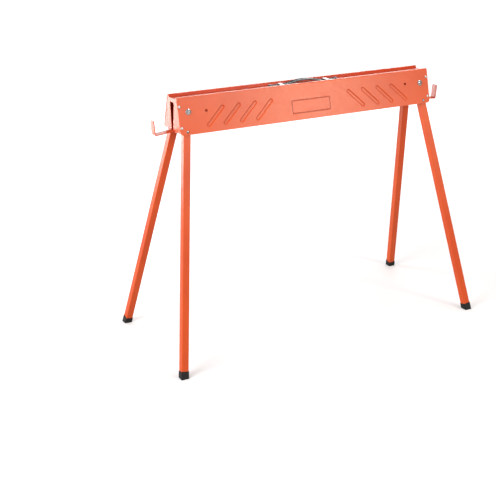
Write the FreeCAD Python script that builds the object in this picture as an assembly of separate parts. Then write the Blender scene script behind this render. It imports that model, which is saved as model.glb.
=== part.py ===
import FreeCAD, Part
import math
import os

# Folding trestle: a hollow beam of two leaning side panels, closed by a shallow tray on top
# and a folded bracket at each end, on four folding tube legs that are built open.
# The beam lies along X and is centred on the origin; left is -X, front is -Y, the floor Z = 0.
# Front pieces are modelled and mirrored to the rear. Depths are measured down from the rims.

os.makedirs("parts", exist_ok=True)
Vec = FreeCAD.Vector

# ---------------------------------------------------------------- driving dimensions (mm)
BEAM_L = 1000.0            # length of the side panels
HALF = BEAM_L / 2
TOP_Z = 891.7              # top rims above the floor
TOP_HALF = 36.5            # half width of the beam across its top edges
LEAN = math.radians(14.6)  # lean of each panel from vertical
PANEL_W = 123.0            # panel height down its slope
SHEET = 1.5                # thickness of panels, channel and end brackets
FIT = 0.05                 # clearance between neighbouring pieces

END_INSET = 0.5            # end bracket's face behind the panels' ends
END_RIVET_IN = 7.0         # end rivets from the panels' ends
END_RIVET_W = (30.0, 99.0) # end rivets down the slope
END_RIVET_R = 2.4

TRAY_D = 7.5               # depth of the tray between the rims
TRAY_Y = 28.0              # tray's half width at the rims
TRAY_R = 6.0               # rounded lower corners of the tray
TRAY_Z = TOP_Z - TRAY_D    # tray floor

SHELF_D = 113.0            # depth of the end bracket's lower shelf
SHELF_UNDER = SHELF_D + SHEET
SHELF_IN = 28.0            # shelf's and hook base's inner edge from the beam's end
SHELF_HALF = 31.0          # half width of the shelf and the hook base
HOOK_T = 3.0
HOOK_RIVET_IN = 14.0
HOOK_RIVET_Y = 22.0
HOOK_RIVET_R = 2.1
HOOK_TOP_Z = TOP_Z - SHELF_UNDER
HOOK_BASE_Z = HOOK_TOP_Z - HOOK_T

TUBE = 25.0                # square leg tube
TUBE_T = 1.5
TUBE_R = 2.5
SPLAY = math.radians(8.5)  # leg splay within the panel's plane
STACK = math.radians(1.75) # slope of the stored legs, so that the two on one panel stack
PIVOT_IN = 36.5            # pivot from the beam's end
PIVOT_W = 48.6             # pivot down the slope
LEG_N = 18.0               # leg axis behind the panel's outer face
LEG_OUTER_N = LEG_N - TUBE / 2
LEG_INNER_N = LEG_N + TUBE / 2
BOLT_R = 4.0
RUN_R = 4.05               # running bore on the pivot bolt
LOCK_R = 65.0              # lock button from the pivot
BUTTON_R = 4.5

STRAP_W = 25.0
STRAP_T = 3.0
STRAP_BRACKET_X = 91.0
STRAP_RIVET_Y = 17.6
STRAP_RIVET_R = 1.6
STRAP_BRACKET_T = 1.2

# ---------------------------------------------------------------- frames
SIN_LEAN, COS_LEAN = math.sin(LEAN), math.cos(LEAN)
ALONG = Vec(1, 0, 0)
DOWN = Vec(0, -SIN_LEAN, -COS_LEAN)
INWARD = Vec(0, COS_LEAN, -SIN_LEAN)
TOP_EDGE = Vec(0, -TOP_HALF, TOP_Z)


def matrix(x, y, z, origin):
    return FreeCAD.Matrix(x.x, y.x, z.x, origin.x, x.y, y.y, z.y, origin.y,
                          x.z, y.z, z.z, origin.z, 0, 0, 0, 1)


def place(shape, frame):
    out = shape.copy()
    out.Placement = FreeCAD.Placement(frame).multiply(out.Placement)
    return out


def on_panel(shape):
    """From local (along the beam, down the slope, inwards) to the front panel."""
    return place(shape, matrix(ALONG, DOWN, INWARD, TOP_EDGE))


def on_leg(shape, side):
    """From local (across, down the leg, inwards), with the pivot as origin, to a front leg."""
    sine, cosine = math.sin(SPLAY), math.cos(SPLAY)
    down_leg = ALONG * (side * sine) + DOWN * cosine
    across = ALONG * cosine - DOWN * (side * sine)
    pivot = TOP_EDGE + ALONG * (side * (HALF - PIVOT_IN)) + DOWN * PIVOT_W
    return place(shape, matrix(across, down_leg, INWARD, pivot))


def rear(shape):
    return shape.mirror(Vec(0, 0, 0), Vec(0, 1, 0))


def left(shape):
    return shape.mirror(Vec(0, 0, 0), Vec(1, 0, 0))


# ---------------------------------------------------------------- helpers
ARC_INSET = 1 - math.sqrt(0.5)   # middle of a unit corner arc from each of its sides


def box(x0, x1, y0, y1, z0, z1):
    return Part.makeBox(x1 - x0, y1 - y0, z1 - z0, Vec(x0, y0, z0))


def cylinder(radius, height, x, y, z):
    return Part.makeCylinder(radius, height, Vec(x, y, z))


def ring(inner_r, outer_r, z0, z1):
    bore = cylinder(inner_r, z1 - z0 + 2, 0, 0, z0 - 1)
    return cylinder(outer_r, z1 - z0, 0, 0, z0).cut(bore)


def prism(points, direction):
    return Part.Face(Part.makePolygon(points + [points[0]])).extrude(direction)


def lines(*points):
    return [Part.makeLine(a, b) for a, b in zip(points, points[1:])]


def arc(start, middle, end):
    return Part.Arc(start, middle, end).toShape()


def loft(first, last):
    return Part.makeLoft([first, last], True, True)


def fuse(shapes):
    return shapes[0].multiFuse(shapes[1:]).removeSplitter()


def fillet_where(shape, radius, length, at):
    """Round the edges of a given length whose two end points both satisfy at(point)."""
    edges = [e for e in shape.Edges
             if len(e.Vertexes) == 2 and abs(e.Length - length) < 1e-6
             and all(at(v.Point) for v in e.Vertexes)]
    # guards against a fillet the kernel can't build: the edges then stay sharp
    try:
        out = shape.makeFillet(radius, edges)
        if out.isValid() and out.Solids:
            return out
    except Exception:
        pass
    return shape


def dome(radius, height, z):
    """Spherical cap of the given rim radius and height, standing on z, top upwards."""
    ball_r = (radius ** 2 + height ** 2) / (2 * height)
    ball = Part.makeSphere(ball_r, Vec(0, 0, z + height - ball_r))
    return ball.common(cylinder(radius, height + 0.01, 0, 0, z))


def write(name, shape):
    solids = shape.Solids
    out = solids[0] if len(solids) == 1 else Part.makeCompound(solids)
    out.exportStep("parts/%s.step" % name)


# ---------------------------------------------------------------- side panels
RIM_W = 8.0              # inward top flange
PANEL_CORNER_R = 12.0    # rounded lower corners
PIVOT_HOLE_R = 4.2
LOCK_HOLE_R = 5.0
RIB_DEPTH = 2.0
RIB_COUNT = 4            # at each end
RIB_PITCH = 61.0
RIB_LOW = (105.0, 99.0)  # outermost rib's ends: (from the beam's end, down the slope)
RIB_HIGH = (161.5, 45.5)
LABEL_DEPTH = 1.5
LABEL_MID_W = 77.5       # label's centre down the slope
LABEL_W, LABEL_H = 151.0, 43.5


def capsule(start, end, radius, z):
    """Wire at height z, round-ended about two (x, y) centres."""
    start, end = Vec(*start, z), Vec(*end, z)
    step = end - start
    forward = step * (radius / step.Length)
    across = Vec(-forward.y, forward.x, 0)
    return Part.Wire(lines(start + across, end + across)
                     + [arc(end + across, end + forward, end - across)]
                     + lines(end - across, start - across)
                     + [arc(start - across, start - forward, start + across)])


def label_wire(grow, radius, z):
    """Rounded rectangle about the label, larger than it by grow in width and height."""
    half_w, half_h = (LABEL_W + grow) / 2, (LABEL_H + grow) / 2
    x0, x1 = -half_w, half_w
    y0, y1 = LABEL_MID_W - half_h, LABEL_MID_W + half_h
    inset = radius * ARC_INSET
    points = [Vec(x0 + radius, y0, z), Vec(x1 - radius, y0, z),
              Vec(x1, y0 + radius, z), Vec(x1, y1 - radius, z),
              Vec(x1 - radius, y1, z), Vec(x0 + radius, y1, z),
              Vec(x0, y1 - radius, z), Vec(x0, y0 + radius, z)]
    middles = [Vec(x1 - inset, y0 + inset, z), Vec(x1 - inset, y1 - inset, z),
               Vec(x0 + inset, y1 - inset, z), Vec(x0 + inset, y0 + inset, z)]
    edges = []
    for i, middle in enumerate(middles):
        start, end, following = points[2 * i], points[2 * i + 1], points[(2 * i + 2) % 8]
        edges += lines(start, end) + [arc(end, middle, following)]
    return Part.Wire(edges)


def panel_sheet():
    """Bent sheet: the sloping panel with its rim, over the beam's whole length."""
    bottom = TOP_EDGE + DOWN * PANEL_W
    # where the panel's inner face meets the underside of the rim
    slope = (SHEET - SHEET * SIN_LEAN) / COS_LEAN
    bend = Vec(0, -TOP_HALF - slope * SIN_LEAN + SHEET * COS_LEAN, TOP_Z - SHEET)
    rim_y = -TOP_HALF + RIM_W
    section = [TOP_EDGE, bottom, bottom + INWARD * SHEET, bend,
               Vec(0, rim_y, TOP_Z - SHEET), Vec(0, rim_y, TOP_Z)]
    body = prism([Vec(-HALF, p.y, p.z) for p in section], Vec(BEAM_L, 0, 0))
    for corner, radius in ((TOP_EDGE, 3.0), (bend, 1.5)):
        body = fillet_where(body, radius, BEAM_L, lambda p: (
            abs(p.y - corner.y) < 1e-4 and abs(p.z - corner.z) < 1e-4))
    return body


def panel_pressings():
    """Raised solids and hollows of the diagonal ribs and of the groove around the label."""
    bumps, hollows = [], []
    for i in range(RIB_COUNT):
        for side in (-1, 1):
            low, high = [(side * (HALF - end_in - RIB_PITCH * i), w)
                         for end_in, w in (RIB_LOW, RIB_HIGH)]
            bumps.append(loft(capsule(low, high, 8.6, SHEET - 0.4),
                              capsule(low, high, 5.0, SHEET + RIB_DEPTH)))
            hollows.append(loft(capsule(low, high, 7.8, -0.2),
                                capsule(low, high, 3.9, RIB_DEPTH)))
    top = SHEET + LABEL_DEPTH
    bumps.append(
        loft(label_wire(7.0, 5.5, SHEET - 0.4), label_wire(5.0, 4.5, top)).cut(
            loft(label_wire(-7.0, 2.0, SHEET - 0.5), label_wire(-5.0, 3.0, top + 0.1))))
    hollows.append(
        loft(label_wire(4.4, 4.2, -0.2), label_wire(1.8, 2.9, LABEL_DEPTH)).cut(
            loft(label_wire(-4.4, 1.0, -0.3), label_wire(-1.6, 2.2, LABEL_DEPTH + 0.1))))
    return bumps, hollows


def panel_holes():
    """Pivots, locks (leg open and leg stored) and end rivets."""
    holes = []
    for side in (-1, 1):
        pivot_x = side * (HALF - PIVOT_IN)
        spots = [(PIVOT_HOLE_R, pivot_x, PIVOT_W),
                 (LOCK_HOLE_R, pivot_x + side * LOCK_R * math.sin(SPLAY),
                  PIVOT_W + LOCK_R * math.cos(SPLAY)),
                 (LOCK_HOLE_R, pivot_x - side * LOCK_R * math.cos(STACK),
                  PIVOT_W - side * LOCK_R * math.sin(STACK))]
        spots += [(END_RIVET_R, side * (HALF - END_RIVET_IN), w) for w in END_RIVET_W]
        holes += [cylinder(radius, 6, x, w, -2) for radius, x, w in spots]
    return holes


def side_panel():
    body = panel_sheet()
    corner_w = PANEL_W - PANEL_CORNER_R
    for side in (-1, 1):
        corner_x = side * (HALF - PANEL_CORNER_R)
        x0, x1 = sorted((side * (HALF + 0.5), corner_x))
        corner = box(x0, x1, corner_w, PANEL_W + 0.5, -2, SHEET + 2)
        disc = cylinder(PANEL_CORNER_R, SHEET + 8, corner_x, corner_w, -4)
        body = body.cut(on_panel(corner.cut(disc)))
    bumps, hollows = panel_pressings()
    body = body.fuse([on_panel(b) for b in bumps])
    body = body.cut([on_panel(h) for h in hollows])
    body = body.cut([on_panel(h) for h in panel_holes()])
    return body.removeSplitter()


panel = side_panel()
write("front_panel", panel)
write("rear_panel", rear(panel))


# ---------------------------------------------------------------- top channel
def flip_y(point):
    return Vec(point.x, -point.y, point.z)


def tray_curve(x, radius, start_depth):
    """Tray section from start_depth on the front side to the same depth on the rear side.

    Returns the first point, the edges and the last point. TRAY_R gives the tray's inside.
    """
    centre_y = TRAY_Y - TRAY_R
    centre_d = TRAY_D - TRAY_R
    rise = start_depth - centre_d
    start = Vec(x, -centre_y - math.sqrt(radius ** 2 - rise ** 2), TOP_Z - start_depth)
    angle = (math.asin(rise / radius) + math.pi / 2) / 2
    middle = Vec(x, -centre_y - radius * math.cos(angle),
                 TOP_Z - centre_d - radius * math.sin(angle))
    floor = Vec(x, -centre_y, TOP_Z - centre_d - radius)
    edges = ([arc(start, middle, floor)] + lines(floor, flip_y(floor))
             + [arc(flip_y(floor), flip_y(middle), flip_y(start))])
    return start, edges, flip_y(start)


def top_channel():
    """Shallow tray with a lip under each panel's rim."""
    lip_y = 34.2
    end_x = HALF - END_INSET - SHEET
    upper_start, upper, upper_end = tray_curve(-end_x, TRAY_R, SHEET)
    lower_start, lower, lower_end = tray_curve(-end_x, TRAY_R + SHEET, 2 * SHEET)
    lip_top, lip_under = [Vec(-end_x, -lip_y, TOP_Z - d) for d in (SHEET, 2 * SHEET)]
    edges = (lines(lip_top, upper_start) + upper
             + lines(upper_end, flip_y(lip_top), flip_y(lip_under), lower_end)
             + lower[::-1] + lines(lower_start, lip_under, lip_top))
    wire = Part.Wire(Part.__sortEdges__(edges))
    channel = Part.Face(wire).extrude(Vec(2 * end_x, 0, 0))
    return channel.cut([cylinder(STRAP_RIVET_R, 6, side * STRAP_BRACKET_X, y, TRAY_Z - 4)
                        for side in (-1, 1) for y in (-STRAP_RIVET_Y, STRAP_RIVET_Y)])


write("top_channel", top_channel())

# ---------------------------------------------------------------- end brackets
BEND_R = 2.4           # outside radius of the bends
TAB_L = 15.0           # side tabs, along the beam
TAB_W = (14.0, 108.0)  # tabs' ends down the slope
BRACKET_X1 = HALF - END_INSET
BRACKET_X0 = BRACKET_X1 - SHEET
CHAMFER_Y, CHAMFER_D = 2.0, 2.6    # top corners, clear of the radius under the rims
SIDE_END_D = 106.0     # depth where the side edges turn in
TURN_IN_Y = 4.0
SLOT_TOP_D = 20.0
SLOT_TOP_HALF, SLOT_LOW_HALF = 15.0, 7.0


def end_face():
    """Upright face of the right bracket, with its tapering slot."""
    def point(y, depth):
        return Vec(BRACKET_X0, y, TOP_Z - depth)

    def side_y(depth):
        return -(TOP_HALF + depth * SIN_LEAN / COS_LEAN) + (SHEET + FIT) / COS_LEAN

    top = SHEET + FIT
    curve_start, curve, curve_end = tray_curve(BRACKET_X0, TRAY_R, top)
    top_y, low_y = side_y(top + CHAMFER_D), side_y(SIDE_END_D)
    # upwards along the front side, then downwards along the rear side
    front = [point(low_y + TURN_IN_Y, SHELF_UNDER), point(low_y, SIDE_END_D),
             point(top_y, top + CHAMFER_D), point(top_y + CHAMFER_Y, top)]
    back = [flip_y(p) for p in reversed(front)]
    edges = (lines(front[2], front[3], curve_start) + curve
             + lines(curve_end, *back, *front[:3]))
    face = Part.Face(Part.Wire(Part.__sortEdges__(edges))).extrude(Vec(SHEET, 0, 0))

    slot_l = SHEET + 4
    slot = prism([point(-SLOT_TOP_HALF, SLOT_TOP_D), point(SLOT_TOP_HALF, SLOT_TOP_D),
                  point(SLOT_LOW_HALF, SHELF_D), point(-SLOT_LOW_HALF, SHELF_D)],
                 Vec(slot_l, 0, 0))
    slot.translate(Vec(-2, 0, 0))
    slot = fillet_where(slot, 5.0, slot_l, lambda p: abs(p.z - TOP_Z + SLOT_TOP_D) < 1e-6)
    return face.cut(slot)


def bend_cutter(y0, y1, z_start, z_axis):
    """What lies outside a bend that runs along local Y at the bracket's outer face."""
    axis_x = BRACKET_X1 - BEND_R
    corner = box(axis_x, BRACKET_X1 + 1, y0, y1, z_start, z_axis)
    return corner.cut(Part.makeCylinder(BEND_R, y1 - y0 + 10, Vec(axis_x, y0 - 5, z_axis),
                                        Vec(0, 1, 0)))


def end_bracket():
    """Right bracket: one folded sheet, riveted inside both panels."""
    under_z = TOP_Z - SHELF_UNDER
    shelf = box(HALF - SHELF_IN, BRACKET_X1, -SHELF_HALF, SHELF_HALF, under_z, TOP_Z - SHELF_D)
    tab = on_panel(box(BRACKET_X1 - TAB_L, BRACKET_X1, *TAB_W, SHEET + FIT, 2 * SHEET + FIT))
    body = fuse([end_face(), shelf, tab, rear(tab)])
    side_bend = on_panel(bend_cutter(12.0, 109.5, 0.0, SHEET + FIT + BEND_R))
    body = body.cut([side_bend, rear(side_bend)])
    body = body.cut(bend_cutter(-40.0, 40.0, under_z - 1, under_z + BEND_R))
    holes = [cylinder(HOOK_RIVET_R, 8, HALF - HOOK_RIVET_IN, y, under_z - 3)
             for y in (-HOOK_RIVET_Y, HOOK_RIVET_Y)]
    for w in END_RIVET_W:
        hole = on_panel(cylinder(END_RIVET_R, 8, HALF - END_RIVET_IN, w, -2))
        holes += [hole, rear(hole)]
    return body.cut(holes).removeSplitter()


bracket = end_bracket()
write("left_end_bracket", left(bracket))
write("right_end_bracket", bracket)

# ---------------------------------------------------------------- end hooks
HOOK_OUT = 68.5      # tongue's reach beyond the beam's end
HOOK_UP = 50.0       # height of the upturned tip
HOOK_W = 25.0
HOOK_BEND_R = 5.0
HOOK_CORNER_R = 4.0
HOOK_DROOP = 5.5     # degrees by which the tongue slopes down outwards
TONGUE_ROOT_X = HALF - 3


def hook_tongue():
    def point(x, z):
        return Vec(x, 0, z)

    out_x = HALF + HOOK_OUT
    in_x = out_x - HOOK_T
    bend_x = out_x - HOOK_BEND_R
    low, high = HOOK_BASE_Z, HOOK_BASE_Z + HOOK_T
    bend_z, tip_z = low + HOOK_BEND_R, low + HOOK_UP
    outer = HOOK_BEND_R * ARC_INSET
    inner = (HOOK_BEND_R - HOOK_T) * ARC_INSET
    edges = (lines(point(TONGUE_ROOT_X, low), point(bend_x, low))
             + [arc(point(bend_x, low), point(out_x - outer, low + outer),
                    point(out_x, bend_z))]
             + lines(point(out_x, bend_z), point(out_x, tip_z), point(in_x, tip_z),
                     point(in_x, bend_z))
             + [arc(point(in_x, bend_z), point(in_x - inner, high + inner),
                    point(bend_x, high))]
             + lines(point(bend_x, high), point(TONGUE_ROOT_X, high),
                     point(TONGUE_ROOT_X, low)))
    tongue = Part.Face(Part.Wire(edges)).extrude(Vec(0, HOOK_W, 0))
    tongue.translate(Vec(0, -HOOK_W / 2, 0))
    tongue = fillet_where(tongue, HOOK_CORNER_R, HOOK_T, lambda p: abs(p.z - tip_z) < 1e-6)
    tongue.rotate(Vec(BRACKET_X1, 0, HOOK_TOP_Z), Vec(0, 1, 0), HOOK_DROOP)
    # trim what the tilt lifts above the base
    return tongue.cut(box(HALF - 12.0, BRACKET_X1, -20.0, 20.0, HOOK_TOP_Z, HOOK_TOP_Z + 5.0))


def end_hook():
    """Right hook: a wide base under the shelf, and an upturned tongue."""
    base = box(HALF - SHELF_IN, BRACKET_X1, -SHELF_HALF, SHELF_HALF, HOOK_BASE_Z, HOOK_TOP_Z)
    uprights = [e for e in base.Edges if abs(e.Length - HOOK_T) < 1e-6]
    base = base.makeFillet(HOOK_CORNER_R, uprights)
    hook = fuse([base, hook_tongue()])
    for y in (-HOOK_RIVET_Y, HOOK_RIVET_Y):
        hook = hook.cut(cylinder(HOOK_RIVET_R, 8, HALF - HOOK_RIVET_IN, y, HOOK_BASE_Z - 2))
    return hook


hook = end_hook()
write("left_hook", left(hook))
write("right_hook", hook)

# ---------------------------------------------------------------- rivets
# shank radius, head radius and height, tail radius and height
HOOK_RIVET = (HOOK_RIVET_R, 4.2, 1.6, 3.2, 1.8)
END_RIVET = (END_RIVET_R, 4.7, 2.0, 3.2, 1.6)
STRAP_RIVET = (STRAP_RIVET_R, 2.8, 1.2, 2.4, 1.4)


def rivet(sizes, grip, x, y, z, flip=False):
    """Blind rivet along Z: domed head above z, tail below the grip; flip turns it over."""
    shank_r, head_r, head_h, tail_r, tail_h = sizes
    body = fuse([dome(head_r, head_h, 0),
                 cylinder(shank_r, grip + 0.6, 0, 0, -grip - 0.3),
                 cylinder(tail_r, tail_h, 0, 0, -grip - tail_h)])
    if flip:
        body.rotate(Vec(0, 0, 0), Vec(1, 0, 0), 180)
    body.translate(Vec(x, y, z))
    return body


def end_rivets():
    rivets = []
    for side in (-1, 1):
        for w in END_RIVET_W:
            front = on_panel(rivet(END_RIVET, 2 * SHEET + FIT,
                                   side * (HALF - END_RIVET_IN), w, 0, flip=True))
            rivets += [front, rear(front)]
    return Part.makeCompound(rivets)


write("end_rivets", end_rivets())
write("hook_rivets", Part.makeCompound([
    rivet(HOOK_RIVET, SHEET + HOOK_T, side * (HALF - HOOK_RIVET_IN), y, HOOK_BASE_Z, flip=True)
    for side in (-1, 1) for y in (-HOOK_RIVET_Y, HOOK_RIVET_Y)]))
write("bracket_rivets", Part.makeCompound([
    rivet(STRAP_RIVET, STRAP_BRACKET_T + SHEET, side * STRAP_BRACKET_X, y,
          TRAY_Z + STRAP_BRACKET_T)
    for side in (-1, 1) for y in (-STRAP_RIVET_Y, STRAP_RIVET_Y)]))

# ---------------------------------------------------------------- pivots
# local Z runs inwards from the panel's outer face, along the bolt
WASHER_TOP = LEG_INNER_N + 1.6
NUT_H = 7.0
HEAD_R, HEAD_H, HEAD_SKIRT = 9.6, 4.6, 0.9
SHANK_START = -0.5
SHANK_END = WASHER_TOP + NUT_H + 2.0


def hexagon(across_flats, z, height):
    radius = across_flats / math.sqrt(3)
    angles = [math.radians(60 * i) for i in range(6)]
    return prism([Vec(radius * math.cos(a), radius * math.sin(a), z) for a in angles],
                 Vec(0, 0, height))


def pivot_bolt():
    """Button head with a hex socket, on a plain shank."""
    cap = dome(HEAD_R, HEAD_H - HEAD_SKIRT, HEAD_SKIRT)
    cap.rotate(Vec(0, 0, 0), Vec(1, 0, 0), 180)
    rim = cylinder(HEAD_R, HEAD_SKIRT, 0, 0, -HEAD_SKIRT)
    shank = cylinder(BOLT_R, SHANK_END - SHANK_START, 0, 0, SHANK_START)
    return fuse([cap, rim, shank]).cut(hexagon(5.5, -6.0, 4.6))


def lock_nut():
    """Hexagon with bevelled corners and a round crown."""
    body = hexagon(13.0, WASHER_TOP, 5.5)
    cone = Part.makeCone(8.2, 6.4, NUT_H, Vec(0, 0, WASHER_TOP))
    crown = cylinder(5.6, NUT_H, 0, 0, WASHER_TOP)
    nut = fuse([body.common(cone), crown])
    return nut.cut(cylinder(BOLT_R, 12, 0, 0, WASHER_TOP - 1))


for name, piece in (
        ("pivot_bolts", pivot_bolt()),
        ("pivot_spacers", ring(BOLT_R, 9.0, SHEET, LEG_OUTER_N - FIT)),
        ("pivot_washers", ring(BOLT_R, 8.5, LEG_INNER_N + FIT, WASHER_TOP)),
        ("pivot_lock_nuts", lock_nut())):
    fronts = [on_leg(piece, side) for side in (-1, 1)]
    write(name, Part.makeCompound([s for front in fronts for s in (front, rear(front))]))

# ---------------------------------------------------------------- legs
LEG_UP = 16.0       # tube above the pivot
CAP_W = 28.0        # foot cap, outside
CAP_H = 23.0        # foot cap along the leg's axis
CAP_R = 3.5
CAP_FLOOR = 9.5     # rubber under the tube's end, along the axis
BORE_HALF = TUBE / 2 - TUBE_T
SPRING_T = 0.8
SPRING_W = 9.0
SPRING_BEND_R = 5.0
SPRING_N = LEG_OUTER_N + TUBE_T + FIT   # strip's outer face, just clear of the tube wall
BUTTON_TIP = -1.2
BUTTON_DOME_H = 2.1
BUTTON_DOME_R = 5.9
STEM_R = 2.0
# pivot to floor along the leg's axis
FLOOR_T = (TOP_Z - PIVOT_W * COS_LEAN - LEG_N * SIN_LEAN) / (math.cos(SPLAY) * COS_LEAN)
TUBE_END = FLOOR_T - CAP_FLOOR


def square_bar(half, y0, y1, radius):
    """Bar about the leg's axis, with its four long edges rounded."""
    bar = box(-half, half, y0, y1, LEG_N - half, LEG_N + half)
    long_edges = [e for e in bar.Edges
                  if abs(e.Vertexes[1].Point.y - e.Vertexes[0].Point.y) > 1e-6]
    return bar.makeFillet(radius, long_edges)


def leg_tube():
    outer = square_bar(TUBE / 2, -LEG_UP, TUBE_END, TUBE_R)
    inner = square_bar(BORE_HALF, -LEG_UP - 1, TUBE_END + 1, TUBE_R - TUBE_T)
    tube = outer.cut(inner)
    tube = tube.cut(cylinder(RUN_R, 60, 0, 0, -10))
    return tube.cut(cylinder(BUTTON_R + 0.08, 8, 0, LOCK_R, 1))


def foot_cap(side):
    """Cap around the tube's end, cut level with the floor; already placed."""
    top = FLOOR_T - CAP_H
    cap = square_bar(CAP_W / 2, top, FLOOR_T + 15, CAP_R)
    cap = cap.cut(square_bar(TUBE / 2, top - 1, TUBE_END, TUBE_R))
    return on_leg(cap, side).common(box(-900, 900, -600, 600, 0, 200))


def lock_spring():
    """V spring of flat strip, lying in the tube behind the button."""
    far_n = LEG_INNER_N - TUBE_T - 0.1
    start, bend = LOCK_R - 9, LOCK_R + 48
    centre_n = SPRING_N + SPRING_BEND_R

    def bend_points(radius, angles):
        return [(bend + radius * math.cos(math.radians(a)),
                 centre_n + radius * math.sin(math.radians(a))) for a in angles]

    # (down the leg, inwards)
    profile = ([(start, SPRING_N), (bend, SPRING_N)]
               + bend_points(SPRING_BEND_R, range(-76, 79, 14))
               + [(start + 4, far_n), (start + 4, far_n - SPRING_T)]
               + bend_points(SPRING_BEND_R - SPRING_T, range(78, -77, -14))
               + [(bend, SPRING_N + SPRING_T), (start, SPRING_N + SPRING_T)])
    strip = prism([Vec(-SPRING_W / 2, t, n) for t, n in profile], Vec(SPRING_W, 0, 0))
    return strip.cut(cylinder(STEM_R, 4, 0, LOCK_R, SPRING_N - 1))


def lock_button():
    """Domed button riveted through the spring strip."""
    base = BUTTON_TIP + BUTTON_DOME_H
    body = cylinder(BUTTON_R, SPRING_N - base, 0, LOCK_R, base)
    ball = Part.makeSphere(BUTTON_DOME_R, Vec(0, LOCK_R, BUTTON_TIP + BUTTON_DOME_R))
    tip = ball.common(cylinder(BUTTON_R, BUTTON_DOME_H, 0, LOCK_R, BUTTON_TIP))
    stem = cylinder(STEM_R, SPRING_T + 0.2, 0, LOCK_R, SPRING_N - 0.1)
    tail = cylinder(3.0, 0.8, 0, LOCK_R, SPRING_N + SPRING_T)
    return fuse([body, tip, stem, tail])


for side, side_name in ((-1, "left"), (1, "right")):
    for name, piece in (
            ("leg", on_leg(leg_tube(), side)),
            ("foot", foot_cap(side)),
            ("pivot_sleeve",
             on_leg(ring(RUN_R, 6.0, LEG_N - BORE_HALF, LEG_N + BORE_HALF), side)),
            ("lock_spring", on_leg(lock_spring(), side)),
            ("lock_button", on_leg(lock_button(), side))):
        write("front_%s_%s" % (side_name, name), piece)
        write("rear_%s_%s" % (side_name, name), rear(piece))

# ---------------------------------------------------------------- carry strap in the tray
STRAP_END = 137.0
STRAP_RISE = 11.0     # arch at the middle
STRAP_GAP = 0.3       # flat ends above the tray floor
STRAP_STATIONS = 40
ARCH_HALF = STRAP_BRACKET_X - 9.0
STOP_L, STOP_H = 14.0, 5.0
STRAP_BRACKET_L = 14.0
STRAP_FOOT_Y = 20.8   # bracket's half width across its feet


def strap_bracket(side):
    """Hat-shaped bridge over the strap."""
    thick = STRAP_BRACKET_T
    inner_y = STRAP_W / 2 + 0.5
    outer_y = inner_y + thick
    under = STRAP_T + 0.8
    top = under + thick
    # (y, height above the tray floor)
    profile = [(-STRAP_FOOT_Y, 0.0), (-inner_y, 0.0), (-inner_y, under), (inner_y, under),
               (inner_y, 0.0), (STRAP_FOOT_Y, 0.0), (STRAP_FOOT_Y, thick), (outer_y, thick),
               (outer_y, top), (-outer_y, top), (-outer_y, thick), (-STRAP_FOOT_Y, thick)]
    mid_x = side * STRAP_BRACKET_X
    body = prism([Vec(mid_x - STRAP_BRACKET_L / 2, y, TRAY_Z + z) for y, z in profile],
                 Vec(STRAP_BRACKET_L, 0, 0))
    body = fillet_where(body, 3.0, thick, lambda p: abs(abs(p.y) - STRAP_FOOT_Y) < 1e-6)
    body = fillet_where(body, 1.1, STRAP_BRACKET_L, lambda p: (
        abs(abs(p.y) - outer_y) < 1e-6 and abs(p.z - TRAY_Z - top) < 1e-6))
    for y in (-STRAP_RIVET_Y, STRAP_RIVET_Y):
        body = body.cut(cylinder(STRAP_RIVET_R, 6, mid_x, y, TRAY_Z - 2))
    return body


def carry_strap():
    """Strap arched between the brackets, with thicker end stops."""
    flat_z = TRAY_Z + STRAP_GAP

    def arch_z(x):
        return flat_z + STRAP_RISE * ((1 + math.cos(math.pi * x / ARCH_HALF)) / 2) ** 0.75

    def curve(points):
        spline = Part.BSplineCurve()
        spline.interpolate(points, InitialTangent=Vec(1, 0, 0), FinalTangent=Vec(1, 0, 0))
        return spline.toShape()

    stations = [-ARCH_HALF + 2 * ARCH_HALF * i / STRAP_STATIONS
                for i in range(STRAP_STATIONS + 1)]
    under = [Vec(x, 0, arch_z(x)) for x in stations]
    over = [Vec(p.x, 0, p.z + STRAP_T) for p in under]
    left_low, right_low = [Vec(x, 0, flat_z) for x in (-STRAP_END, STRAP_END)]
    left_top, right_top = [Vec(x, 0, flat_z + STRAP_T) for x in (-STRAP_END, STRAP_END)]
    edges = (lines(left_low, under[0]) + [curve(under)]
             + lines(under[-1], right_low, right_top, over[-1]) + [curve(over)]
             + lines(over[0], left_top, left_low))
    strap = Part.Face(Part.Wire(edges)).extrude(Vec(0, STRAP_W, 0))
    strap.translate(Vec(0, -STRAP_W / 2, 0))
    stops = []
    for side in (-1, 1):
        x0, x1 = sorted((side * (STRAP_END - STOP_L), side * STRAP_END))
        stops.append(box(x0, x1, -STRAP_W / 2, STRAP_W / 2, flat_z, flat_z + STOP_H))
    return fuse([strap] + stops)


write("left_strap_bracket", strap_bracket(-1))
write("right_strap_bracket", strap_bracket(1))
write("carry_strap", carry_strap())
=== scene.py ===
"""Folding stand: painted panels, tray and splayed legs with spring locks, and a carry strap.

Metres, +Z up, feet on z = 0. X runs left (-) to right (+) along the panels; the front faces -Y.
The carried-over CAD pieces are painted. The strap and lock springs are replaced by moving parts.
"""
import math

import bmesh
import bpy
from mathutils import Matrix, Vector


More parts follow.
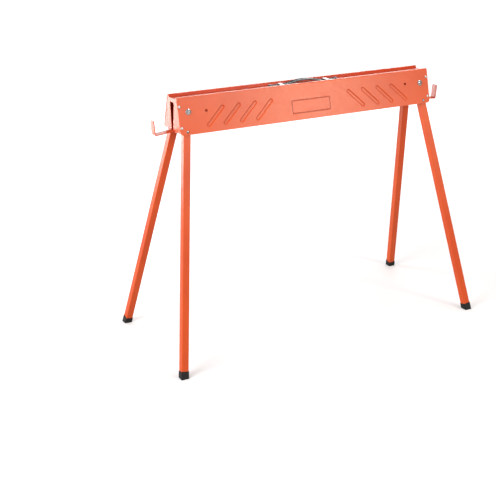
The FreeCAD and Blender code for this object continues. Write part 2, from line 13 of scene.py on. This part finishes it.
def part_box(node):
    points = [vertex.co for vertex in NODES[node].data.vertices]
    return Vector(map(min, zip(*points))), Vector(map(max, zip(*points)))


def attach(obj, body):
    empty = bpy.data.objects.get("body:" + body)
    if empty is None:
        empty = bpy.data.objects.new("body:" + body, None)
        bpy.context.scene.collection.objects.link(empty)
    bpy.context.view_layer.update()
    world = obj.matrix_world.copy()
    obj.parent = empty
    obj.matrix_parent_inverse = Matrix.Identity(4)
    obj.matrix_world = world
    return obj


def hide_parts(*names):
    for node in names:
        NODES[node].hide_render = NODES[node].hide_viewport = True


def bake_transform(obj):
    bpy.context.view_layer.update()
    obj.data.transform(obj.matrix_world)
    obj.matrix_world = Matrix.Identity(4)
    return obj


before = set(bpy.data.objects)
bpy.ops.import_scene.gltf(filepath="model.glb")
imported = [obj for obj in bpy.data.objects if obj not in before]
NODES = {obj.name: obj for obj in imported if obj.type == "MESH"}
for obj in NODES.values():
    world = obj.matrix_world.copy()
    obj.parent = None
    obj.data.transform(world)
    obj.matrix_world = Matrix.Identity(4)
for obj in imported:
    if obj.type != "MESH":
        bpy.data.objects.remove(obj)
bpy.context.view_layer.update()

scene = bpy.context.scene


# ------------------------------------------------------------------ shared helpers
class Mat:
    """One material's node tree, with a Principled shader wired to the output."""

    def __init__(self, name):
        self.mat = bpy.data.materials.new(name)
        self.mat.use_nodes = True
        self.tree = self.mat.node_tree
        self.tree.nodes.clear()
        output = self.new("ShaderNodeOutputMaterial")
        self.bsdf = self.new("ShaderNodeBsdfPrincipled")
        self.link(self.bsdf.outputs[0], output.inputs[0])
        self.coords = self.new("ShaderNodeTexCoord").outputs

    def new(self, kind, **props):
        node = self.tree.nodes.new(kind)
        for key, value in props.items():
            setattr(node, key, value)
        return node

    def link(self, source, target):
        self.tree.links.new(source, target)

    def put(self, socket, value):
        """Link value if it is a socket, otherwise store it."""
        if isinstance(value, bpy.types.NodeSocket):
            self.link(value, socket)
        else:
            socket.default_value = value

    def set(self, key, value):
        self.put(self.bsdf.inputs[key], value)

    def scaled(self, vector, scale):
        node = self.new("ShaderNodeMapping")
        self.link(vector, node.inputs["Vector"])
        node.inputs["Scale"].default_value = scale
        return node.outputs[0]

    def noise(self, vector, scale, seed, detail=2.0, rough=0.5, span=None, to=(0.0, 1.0)):
        """Noise with the seed as its fourth coordinate; if span is given, remapped onto to."""
        node = self.new("ShaderNodeTexNoise", noise_dimensions="4D")
        self.link(vector, node.inputs["Vector"])
        node.inputs["W"].default_value = seed
        node.inputs["Scale"].default_value = scale
        node.inputs["Detail"].default_value = detail
        node.inputs["Roughness"].default_value = rough
        value = node.outputs["Fac"]
        return self.remap(value, span, to) if span else value

    def cells(self, vector, scale, feature):
        node = self.new("ShaderNodeTexVoronoi", feature=feature)
        self.link(vector, node.inputs["Vector"])
        node.inputs["Scale"].default_value = scale
        return node.outputs["Distance"]

    def math(self, operation, a, b, clamp=False):
        node = self.new("ShaderNodeMath", operation=operation, use_clamp=clamp)
        self.put(node.inputs[0], a)
        self.put(node.inputs[1], b)
        return node.outputs[0]

    def times(self, a, b):
        return self.math("MULTIPLY", a, b)

    def remap(self, value, span, to=(0.0, 1.0)):
        """Clamped linear map from the range span onto the range to."""
        node = self.new("ShaderNodeMapRange", clamp=True)
        self.link(value, node.inputs[0])
        for i, limit in enumerate((*span, *to)):
            node.inputs[i + 1].default_value = limit
        return node.outputs[0]

    def mix(self, factor, a, b):
        node = self.new("ShaderNodeMix", data_type="RGBA")
        # inputs 6 and 7 and output 2 are the node's colour sockets
        for i, value in ((0, factor), (6, a), (7, b)):
            self.put(node.inputs[i], value)
        return node.outputs[2]

    def bump(self, height, distance, strength, normal=None):
        node = self.new("ShaderNodeBump")
        node.inputs["Distance"].default_value = distance
        node.inputs["Strength"].default_value = strength
        self.link(height, node.inputs["Height"])
        if normal is not None:
            self.link(normal, node.inputs["Normal"])
        return node.outputs[0]

    def bevel(self, radius):
        node = self.new("ShaderNodeBevel", samples=4)
        node.inputs["Radius"].default_value = radius
        return node.outputs[0]

    def edge(self, radius, span):
        """1 on outer and inner edges within radius, 0 on open faces."""
        rounded = self.bevel(radius)
        geometry = self.new("ShaderNodeNewGeometry")
        dot = self.new("ShaderNodeVectorMath", operation="DOT_PRODUCT")
        self.link(rounded, dot.inputs[0])
        self.link(geometry.outputs["Normal"], dot.inputs[1])
        return self.remap(self.math("SUBTRACT", 1.0, dot.outputs["Value"]), span)


def tint(colour, factors):
    """RGBA of an RGB colour scaled channel by channel."""
    return tuple(c * f for c, f in zip(colour, factors)) + (1,)


def add_object(name, data):
    ob = bpy.data.objects.new(name, data)
    scene.collection.objects.link(ob)
    return ob


def bmesh_piece(bm, name, mat):
    """Turn a bmesh into an object with one material in the named slot."""
    bmesh.ops.recalc_face_normals(bm, faces=bm.faces)
    mesh = bpy.data.meshes.new(name)
    bm.to_mesh(mesh)
    bm.free()
    ob = add_object(name, mesh)
    mesh.materials.append(mat)
    return ob


# ------------------------------------------------------------------ material recipes
ORANGE = (0.80, 0.092, 0.0105)


def powder_coat(name, seed, scuff, along="x", base=ORANGE, gloss=1.0, cavity_shade=0.0, edges=True,
                texture=0.35):
    """Satin powder coat with orange peel, tone drift and light rubbing along one axis.

    edges adds a paler thin coat, partly a painted edge highlight, and nicks on sharp edges;
    cavity_shade paints shade into pressed corners; texture is the strength of the orange peel.
    """
    m = Mat(name)
    p = m.coords["Object"]
    drift = m.noise(p, scale=5.0, seed=seed, detail=3.0, rough=0.55, span=(0.32, 0.68))
    col = m.mix(drift, tint(base, (0.86, 0.80, 0.8)), tint(base, (1.05, 1.16, 1.2)))
    cloud = m.noise(p, scale=38.0, seed=seed + 3.1, detail=4.0, rough=0.6,
                    span=(0.35, 0.7), to=(0.0, 0.35))
    col = m.mix(cloud, col, base + (1,))
    # pigment grain
    grain = m.noise(p, scale=1400.0, seed=seed + 8.0)
    grain_tone = m.remap(grain, span=(0.35, 0.65), to=(0.0, 0.10))
    col = m.mix(grain_tone, col, tint(base, (0.55, 0.55, 0.55)))
    # edges painted paler: partly a thin coat, partly a painted edge highlight; a few worn nicks
    # show darker metal
    if edges:
        edge = m.edge(radius=0.0011, span=(0.02, 0.22))
        thin = m.noise(p, scale=60.0, seed=seed + 1.7, detail=4.0, rough=0.65,
                       span=(0.35, 0.62), to=(0.12, 0.42))
        col = m.mix(m.times(edge, thin), col, (0.95, 0.30, 0.13, 1))
        chips = m.noise(p, scale=210.0, seed=seed + 4.4, detail=5.0, rough=0.7,
                        span=(0.66, 0.72), to=(0.0, 0.8))
        nick = m.times(edge, chips)
        col = m.mix(nick, col, (0.22, 0.17, 0.15, 1))
    # fine handling scuffs, drawn out along the piece
    stretch = [9.0 if axis == along else 260.0 for axis in "xyz"]
    rub = m.noise(m.scaled(p, stretch), scale=1.0, seed=seed + 6.0, detail=5.0, rough=0.6,
                  span=(0.60, 0.74), to=(0.0, scuff))
    col = m.mix(m.times(rub, 0.22), col, (0.92, 0.30, 0.15, 1))
    # painted shade: darker colour in pressed corners and behind overlapping edges, masked by
    # ambient occlusion
    if cavity_shade:
        occlusion = m.new("ShaderNodeAmbientOcclusion", samples=6, only_local=False)
        occlusion.inputs["Distance"].default_value = 0.007
        painted_shade = m.remap(occlusion.outputs["AO"], span=(0.62, 0.95), to=(cavity_shade, 0.0))
        col = m.mix(painted_shade, col, tint(base, (0.40, 0.22, 0.3)))
    m.set("Base Color", col)
    rough = m.noise(p, scale=90.0, seed=seed + 2.2, detail=4.0, rough=0.6,
                    span=(0.3, 0.7), to=(0.28, 0.38))
    rough = m.math("ADD", rough, m.times(rub, 0.16))
    if edges:
        rough = m.math("ADD", rough, m.times(nick, -0.05), clamp=True)
        m.set("Metallic", m.times(nick, 0.8))
    m.set("Roughness", rough)
    m.set("IOR", 1.52)
    m.set("Specular IOR Level", 0.45 * gloss)
    m.set("Coat Weight", 0.14 * gloss)
    m.set("Coat Roughness", 0.30)
    peel = m.noise(p, scale=520.0, seed=seed + 5.0, rough=0.45)
    rounded = m.bevel(radius=0.0007) if edges else None
    normal = m.bump(peel, distance=0.00022, strength=texture, normal=rounded)
    normal = m.bump(grain, distance=0.00004, strength=0.5, normal=normal)
    if edges:
        normal = m.bump(m.times(nick, -1.0), distance=0.00010, strength=0.8, normal=normal)
    m.set("Normal", normal)
    return m.mat


def zinc(name, seed, tone, rough, edges=True):
    """Bare or plated metal: cloudy tone, fine tool marks, bright edges; rough is a range."""
    m = Mat(name)
    p = m.coords["Object"]
    grey = (tone, tone, tone)
    cloud = m.noise(p, scale=120.0, seed=seed, detail=4.0, rough=0.6, span=(0.3, 0.7))
    col = m.mix(cloud, tint(grey, (0.80, 0.81, 0.80)), tint(grey, (1.12, 1.13, 1.16)))
    yellow = m.noise(p, scale=300.0, seed=seed + 2, span=(0.55, 0.75), to=(0.0, 0.20))
    col = m.mix(yellow, col, tint(grey, (1.0, 0.93, 0.80)))
    if edges:
        edge = m.edge(radius=0.0005, span=(0.03, 0.25))
        col = m.mix(m.times(edge, 0.5), col, (0.92, 0.92, 0.93, 1))
    m.set("Base Color", col)
    m.set("Metallic", 1.0)
    marks = m.noise(m.scaled(p, (2600.0, 700.0, 2600.0)), scale=1.0, seed=seed + 5,
                    detail=3.0, rough=0.6)
    m.set("Roughness", m.remap(marks, span=(0.3, 0.7), to=rough))
    rounded = m.bevel(radius=0.0004) if edges else None
    m.set("Normal", m.bump(marks, distance=0.00003, strength=0.4, normal=rounded))
    return m.mat


def moulded(name, seed, base, rough, grain, depth, wear, dust):
    """Moulded plastic or rubber.

    rough is a range, grain and depth are the surface grain's scale and height,
    wear is the colour of rubbed edges and dust the most dust that shows.
    """
    m = Mat(name)
    p = m.coords["Object"]
    cloud = m.noise(p, scale=45.0, seed=seed, detail=4.0, rough=0.6)
    col = m.mix(m.remap(cloud, span=(0.3, 0.7)),
                tint(base, (0.75, 0.75, 0.75)), tint(base, (1.45, 1.45, 1.45)))
    edge = m.edge(radius=0.0012, span=(0.02, 0.30))
    patches = m.noise(p, scale=160.0, seed=seed + 3, detail=4.0, rough=0.65,
                      span=(0.35, 0.65), to=(0.10, 0.75))
    worn = m.times(edge, patches)
    col = m.mix(m.times(worn, 0.55), col, wear + (1,))
    dusty = m.noise(p, scale=70.0, seed=seed + 7, detail=5.0, rough=0.7,
                    span=(0.52, 0.78), to=(0.0, dust))
    col = m.mix(dusty, col, (0.16, 0.155, 0.15, 1))
    m.set("Base Color", col)
    cloud_rough = m.remap(cloud, span=(0.3, 0.7), to=rough)
    m.set("Roughness", m.math("ADD", cloud_rough, m.times(worn, 0.1), clamp=True))
    m.set("Specular IOR Level", 0.5)
    fine = m.noise(p, scale=grain, seed=seed + 1, detail=3.0, rough=0.6)
    pits = m.cells(p, scale=grain * 0.9, feature="F1")
    normal = m.bump(fine, distance=depth, strength=0.6, normal=m.bevel(radius=0.0006))
    m.set("Normal", m.bump(pits, distance=depth * 0.7, strength=0.5, normal=normal))
    return m.mat


def strap_material(name, seed):
    """Black moulded vinyl: fine pebble grain, lengthwise polish, greyed edges."""
    m = Mat(name)
    uv = m.coords["UV"]
    polish = m.noise(m.scaled(uv, (30.0, 200.0, 1.0)), scale=1.0, seed=seed,
                     detail=4.0, rough=0.6)
    col = m.mix(m.remap(polish, span=(0.3, 0.7)),
                (0.012, 0.012, 0.013, 1), (0.030, 0.030, 0.032, 1))
    edge = m.edge(radius=0.0009, span=(0.03, 0.35))
    patches = m.noise(uv, scale=180.0, seed=seed + 2, detail=4.0, rough=0.6,
                      span=(0.35, 0.65), to=(0.1, 0.7))
    col = m.mix(m.times(m.times(edge, patches), 0.6), col, (0.12, 0.12, 0.125, 1))
    m.set("Base Color", col)
    m.set("Roughness", m.remap(polish, span=(0.3, 0.7), to=(0.34, 0.52)))
    pebbles = m.cells(uv, scale=1100.0, feature="SMOOTH_F1")
    normal = m.bump(pebbles, distance=0.00018, strength=0.7, normal=m.bevel(radius=0.0005))
    fine = m.noise(uv, scale=2400.0, seed=seed + 4)
    m.set("Normal", m.bump(fine, distance=0.00005, strength=0.5, normal=normal))
    return m.mat


# ------------------------------------------------------------------ materials
# both panels carry painted shade in pressed corners and behind overlapping parts
PANEL = powder_coat("panel_paint", seed=1.0, scuff=0.45, cavity_shade=0.85)
REAR = powder_coat("rear_panel_paint", seed=12.0, scuff=0.45, cavity_shade=0.85)
# painted shade: the tray's orange is a darker copy of the panels' coat, for the shaded trough
# between the rims
TRAY = powder_coat("tray_paint_shaded", seed=21.0, scuff=0.7, base=(0.58, 0.046, 0.006), gloss=0.5,
                   edges=False)
HOOK = powder_coat("hook_paint", seed=31.0, scuff=0.6, texture=0.14)
FOOT = moulded("foot_rubber", seed=3.0, base=(0.0065, 0.007, 0.0075), rough=(0.36, 0.50),
               grain=900.0, depth=0.00012, wear=(0.05, 0.05, 0.05), dust=0.10)
NYLON = moulded("spacer_nylon", seed=9.0, base=(0.62, 0.60, 0.55), rough=(0.38, 0.5),
                grain=700.0, depth=0.00004, wear=(0.55, 0.53, 0.48), dust=0.1)
BOLT = zinc("bolt_zinc", seed=2.0, tone=0.80, rough=(0.12, 0.22))
BUTTON = zinc("button_zinc", seed=4.0, tone=0.50, rough=(0.18, 0.30))
RIVET = zinc("rivet_aluminium", seed=18.0, tone=0.82, rough=(0.26, 0.38))
NUT = zinc("nut_zinc", seed=6.0, tone=0.66, rough=(0.22, 0.38), edges=False)
BRIGHT = zinc("bracket_zinc", seed=8.0, tone=0.42, rough=(0.24, 0.36))
SPRING = zinc("spring_steel", seed=14.0, tone=0.36, rough=(0.25, 0.40), edges=False)
SLEEVE = zinc("sleeve_zinc", seed=16.0, tone=0.60, rough=(0.28, 0.42), edges=False)
HOOK_RIVET = powder_coat("rivet_paint", seed=41.0, scuff=0.2, along=None, edges=False)
STRAP = strap_material("strap_vinyl", seed=5.0)

# materials by the end of the node's name, and by its whole name
PAINT_BY_ENDING = {
    "_foot": FOOT,
    "_pivot_sleeve": SLEEVE,
    "_lock_spring": SPRING,
    "_lock_button": BUTTON,
    "_hook": HOOK,
    "_end_bracket": HOOK,
    "_strap_bracket": BRIGHT,
}
PAINT_BY_NAME = {
    "front_panel": PANEL,
    "rear_panel": REAR,
    "top_channel": TRAY,
    "pivot_bolts": BOLT,
    "pivot_washers": NUT,
    "pivot_lock_nuts": NUT,
    "pivot_spacers": NYLON,
    "hook_rivets": HOOK_RIVET,
    "bracket_rivets": BRIGHT,
    "end_rivets": RIVET,
}


def paint_node(node, mat):
    materials = NODES[node].data.materials
    materials.clear()
    materials.append(mat)


def paint_nodes():
    # each leg has a coat of its own seed
    for i, leg in enumerate(sorted(n for n in NODES if n.endswith("_leg"))):
        coat = powder_coat(leg + "_paint", seed=50.0 + 7 * i, scuff=0.5, along="z", edges=False)
        paint_node(leg, coat)
    for node in NODES:
        for ending, mat in PAINT_BY_ENDING.items():
            if node.endswith(ending):
                paint_node(node, mat)
    for node, mat in PAINT_BY_NAME.items():
        paint_node(node, mat)


paint_nodes()


# ------------------------------------------------------------------ carry strap
# Two halves that meet at x = 0 and bow as the strap is lifted.
STRAP_LO, STRAP_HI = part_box("carry_strap")
BRACKET_LO, BRACKET_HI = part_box("right_strap_bracket")
TRAY_Z = BRACKET_LO.z
END_X = STRAP_HI.x
FLAT_X = BRACKET_LO.x - 0.002  # the strap lies flat from here outwards
FLAT_Z = TRAY_Z + 0.0003  # underside of the flat part
CROWN_RISE = STRAP_HI.z - FLAT_Z - 0.0034  # underside at x = 0, above the flat part
STRAP_HALF_WIDTH = (STRAP_HI.y - STRAP_LO.y) / 2 - 0.0002
CORNER_RADIUS = 0.007  # corners of the stop, seen from above
BAND_THICKNESS = 0.0029
STOP_THICKNESS = 0.0049
STOP_LENGTH = 0.0135
STOP_RAMP = 0.003  # length over which the band thickens into the stop
END_ROUND = 0.0022  # length of the rounding at the tip
END_DROP = 0.0012  # thickness lost at the tip
CHANNEL_DEPTH = 0.0007
BRACKET_MARGIN = 0.004  # the channel stops this far short of the bracket
LENGTH_STEPS = 150
RIM_STEPS = 6

# top: (y as a fraction of the flat half width, share of the channel depth), +y to -y
TOP_STATIONS = [
    (0.92, 0.0), (0.84, 0.0), (0.77, 0.8), (0.70, 1.0), (0.35, 1.0), (0.0, 1.0),
    (-0.35, 1.0), (-0.70, 1.0), (-0.77, 0.8), (-0.84, 0.0), (-0.92, 0.0),
]
# underside: y as a fraction of the flat half width, -y to +y
UNDERSIDE_STATIONS = (-0.7, -0.35, 0.0, 0.35, 0.7)


def clamp01(value):
    return min(max(value, 0), 1)


def strap_z(x):
    """Height of the strap's underside."""
    if x >= FLAT_X:
        return FLAT_Z
    return FLAT_Z + CROWN_RISE * ((1 + math.cos(math.pi * x / FLAT_X)) / 2) ** 0.75


def strap_section(x):
    """Underside height at x, and the closed (y, z) outline measured from it."""
    half_width = STRAP_HALF_WIDTH
    to_end = END_X - x
    if to_end < CORNER_RADIUS:
        inset = CORNER_RADIUS - to_end
        half_width += math.sqrt(max(CORNER_RADIUS ** 2 - inset ** 2, 0)) - CORNER_RADIUS

    ramp = clamp01((x - (END_X - STOP_LENGTH)) / STOP_RAMP)
    smooth_ramp = ramp * ramp * (3 - 2 * ramp)
    tip = clamp01(to_end / END_ROUND)
    drop = (1 - math.sqrt(max(1 - (1 - tip) ** 2, 0))) * END_DROP
    thickness = BAND_THICKNESS + (STOP_THICKNESS - BAND_THICKNESS) * smooth_ramp - drop

    in_bracket = BRACKET_LO.x - BRACKET_MARGIN < x < BRACKET_HI.x + BRACKET_MARGIN
    channel = 0.0 if ramp > 0 or in_bracket else CHANNEL_DEPTH
    radius = thickness / 2
    flat = half_width - radius

    def rim(centre_y, start):
        """Half circle of the edge, from the start angle."""
        angles = [start + math.pi * j / RIM_STEPS for j in range(RIM_STEPS + 1)]
        return [(centre_y + radius * math.cos(a), radius + radius * math.sin(a)) for a in angles]

    outline = rim(flat, -math.pi / 2)
    outline += [(flat * part, thickness - channel * share) for part, share in TOP_STATIONS]
    outline += rim(-flat, math.pi / 2)
    outline += [(flat * part, 0.0) for part in UNDERSIDE_STATIONS]
    return strap_z(x) + drop * 0.5, outline


def strap_half(name, side):
    """Band with beaded edges and a shallow centre channel.

    The outer end is a rounded stop, thicker than the bracket's opening. side is -1 for left.
    """
    bm = bmesh.new()
    uv_layer = bm.loops.layers.uv.new("UVMap")
    xs = [END_X * i / LENGTH_STEPS for i in range(LENGTH_STEPS + 1)]
    sections = [strap_section(x) for x in xs]
    rings = [[bm.verts.new((side * x, y, base_z + z)) for y, z in outline]
             for x, (base_z, outline) in zip(xs, sections)]

    # v runs round the outline at x = 0, u along the strap
    outline = sections[0][1]
    count = len(outline)
    around = [0.0]
    for j in range(count):
        around.append(around[-1] + math.dist(outline[j], outline[(j + 1) % count]))

    for i in range(LENGTH_STEPS):
        inner, outer = rings[i], rings[i + 1]
        u_inner, u_outer = side * xs[i], side * xs[i + 1]
        for j in range(count):
            k = (j + 1) % count
            corners = {
                inner[j]: (u_inner, around[j]),
                inner[k]: (u_inner, around[j + 1]),
                outer[k]: (u_outer, around[j + 1]),
                outer[j]: (u_outer, around[j]),
            }
            quad = list(corners)
            face = bm.faces.new(quad if side < 0 else quad[::-1])
            face.smooth = True
            for loop in face.loops:
                loop[uv_layer].uv = corners[loop.vert]
    for ring, forward in ((rings[0], side > 0), (rings[-1], side < 0)):
        cap = bm.faces.new(ring if forward else ring[::-1])
        for loop in cap.loops:
            loop[uv_layer].uv = (loop.vert.co.y, loop.vert.co.z)

    ob = bmesh_piece(bm, name, STRAP)
    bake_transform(ob)
    return ob


for half in [strap_half("strap_left_half", -1), strap_half("strap_right_half", 1)]:
    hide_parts("carry_strap")


# ------------------------------------------------------------------ lock springs
# The near leaf bends in with the button, the far leaf stays against the tube.
LEG_LEAN = math.radians(14.6)  # towards the front or rear
LEG_SPLAY = math.radians(8.5)  # towards the left or right
LEAF_SPLIT = 0.005  # depth of the cut between the leaves, from the spring's outer face
LEAF_PARTS = 7  # lengths of near leaf between the bend and the button


def cut(bm, point, normal, **clear):
    everything = bm.verts[:] + bm.edges[:] + bm.faces[:]
    bmesh.ops.bisect_plane(bm, geom=everything, plane_co=point, plane_no=normal, **clear)


def lock_spring(corner, inward_y, outward_x):
    """Both leaves of one leg's spring; the signs give the leg's inward y and outward x."""
    inward = Vector((0, math.cos(LEG_LEAN) * inward_y, -math.sin(LEG_LEAN)))
    down = Vector((0, -math.sin(LEG_LEAN) * inward_y, -math.cos(LEG_LEAN)))
    along = Vector((outward_x * math.sin(LEG_SPLAY), 0, 0)) + down * math.cos(LEG_SPLAY)
    source = NODES[corner + "_lock_spring"]
    points = [source.matrix_world @ v.co for v in source.data.vertices]
    near = min(p.dot(inward) for p in points)
    bend = max(p.dot(along) for p in points)
    button = NODES[corner + "_lock_button"]
    button_along = [(button.matrix_world @ v.co).dot(along) for v in button.data.vertices]
    button_mid = (min(button_along) + max(button_along)) / 2

    def leaf(part, is_near):
        bm = bmesh.new()
        bm.from_mesh(source.data)
        bm.transform(source.matrix_world)
        bmesh.ops.remove_doubles(bm, verts=bm.verts, dist=1e-7)
        cut(bm, inward * (near + LEAF_SPLIT), inward,
            clear_outer=is_near, clear_inner=not is_near)
        open_edges = [e for e in bm.edges if len(e.link_faces) == 1]
        if open_edges:
            bmesh.ops.holes_fill(bm, edges=open_edges, sides=0)
        if is_near:
            # cross cuts let the leaf curve
            for i in range(1, LEAF_PARTS):
                cut(bm, along * (bend + (button_mid - bend) * i / LEAF_PARTS), along)
        return bmesh_piece(bm, corner + "_spring_" + part, SPRING)

    near_leaf = leaf("near_leaf", True)
    far_leaf = leaf("far_leaf", False)
    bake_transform(near_leaf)
    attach(far_leaf, corner + "_leg")
    for ob in (near_leaf, far_leaf):
        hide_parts(corner + "_lock_spring")


for face_name, inward_y in (("front", 1), ("rear", -1)):
    for end_name, outward_x in (("left", -1), ("right", 1)):
        lock_spring(face_name + "_" + end_name, inward_y, outward_x)


# ------------------------------------------------------------------ floor, light, camera
FLOOR_HALF = 40.0
FLOOR_Z = -0.0004


def floor_material():
    m = Mat("floor_paper")
    p = m.coords["Object"]
    cloud = m.noise(p, scale=3.0, seed=1.0, detail=3.0)
    seen = m.new("ShaderNodeLightPath").outputs["Is Camera Ray"]
    pale = m.mix(cloud, (0.87, 0.87, 0.87, 1), (0.90, 0.90, 0.90, 1))
    # darker for bounced light than for the camera
    m.set("Base Color", m.mix(seen, (0.42, 0.41, 0.40, 1), pale))
    m.set("Roughness", 0.9)
    # the paper brightens away from the object, for the camera only
    ray = m.new("ShaderNodeLightPath")
    distance = m.new("ShaderNodeVectorMath", operation="LENGTH")
    m.link(p, distance.inputs[0])
    glow = m.remap(distance.outputs["Value"], span=(0.9, 4.5), to=(0.10, 0.75))
    m.set("Emission Color", (1, 1, 1, 1))
    m.set("Emission Strength", m.times(glow, ray.outputs["Is Camera Ray"]))
    m.set("Specular IOR Level", 0.1)
    return m.mat


def floor():
    mesh = bpy.data.meshes.new("floor")
    signs = ((-1, -1), (1, -1), (1, 1), (-1, 1))
    corners = [(x * FLOOR_HALF, y * FLOOR_HALF, FLOOR_Z) for x, y in signs]
    mesh.from_pydata(corners, [], [(0, 1, 2, 3)])
    ob = add_object("floor", mesh)
    mesh.materials.append(floor_material())


def studio_world():
    """Dim grey for lighting, white for the camera."""
    world = bpy.data.worlds.new("studio")
    scene.world = world
    world.use_nodes = True
    tree = world.node_tree
    background = tree.nodes["Background"]
    ray = tree.nodes.new("ShaderNodeLightPath")
    mix = tree.nodes.new("ShaderNodeMix")
    mix.data_type = "RGBA"
    tree.links.new(ray.outputs["Is Camera Ray"], mix.inputs[0])
    mix.inputs[6].default_value = (0.32, 0.32, 0.33, 1)
    mix.inputs[7].default_value = (1.0, 1.0, 1.0, 1)
    tree.links.new(mix.outputs[2], background.inputs[0])
    background.inputs[1].default_value = 1.0


WHITE = (1, 1, 1)
# name, location, point aimed at, (width, height), watts, colour
AREA_LIGHTS = [
    ("key_left", (-3.6, -1.0, 2.0), (0.1, 0, 0.6), (2.2, 2.0), 124.0, (1.0, 0.98, 0.97)),
    ("fill_high", (1.0, -3.4, 2.5), (0, 0, 0.5), (2.0, 1.2), 33.0, (1.0, 0.96, 0.90)),
    ("top", (1.1, 0.0, 3.2), (0.1, 0, 0.6), (2.0, 0.7), 25.0, WHITE),
    ("front_right", (1.68, -2.81, 1.45), (0, 0, 0.80), (0.55, 0.85), 24.0, (1.0, 0.90, 0.74)),
    ("back", (1.7, 3.3, 1.62), (0, 0, 0.8), (2.4, 0.8), 34.0, WHITE),
    ("back_left", (-1.9, 1.9, 0.7), (-0.4, 0, 0.5), (1.5, 1.0), 13.0, WHITE),
    ("back_near", (-0.74, 1.6, 0.56), (0.5, 0, 0.75), (0.7, 0.7), 13.0, WHITE),
]


def area_light(name, location, aim, size, power, colour):
    data = bpy.data.lights.new(name, "AREA")
    data.shape = "RECTANGLE"
    data.size, data.size_y = size
    data.energy = power
    data.color = colour
    ob = add_object(name, data)
    ob.location = location
    ob.visible_camera = False
    ob.rotation_mode = "QUATERNION"
    ob.rotation_quaternion = (Vector(aim) - Vector(location)).to_track_quat("-Z", "Y")


CAMERA_PLACE = (-1.8757, -3.1069, 1.6781)
YAW = 0.4907  # radians from +Y towards +X
PITCH = 0.3713  # radians below the horizon


def camera():
    data = bpy.data.cameras.new("camera")
    ob = add_object("camera", data)
    forward = Vector((math.sin(YAW) * math.cos(PITCH), math.cos(YAW) * math.cos(PITCH),
                      -math.sin(PITCH)))
    right = Vector((math.cos(YAW), -math.sin(YAW), 0))
    rotation = Matrix((right, right.cross(forward), -forward)).transposed()
    ob.matrix_world = Matrix.Translation(CAMERA_PLACE) @ rotation.to_4x4()
    data.sensor_width = 36.0
    data.lens = 76.621328
    data.clip_end = 200.0
    scene.camera = ob


floor()
studio_world()
for light in AREA_LIGHTS:
    area_light(*light)
camera()
scene.view_settings.view_transform = "Standard"
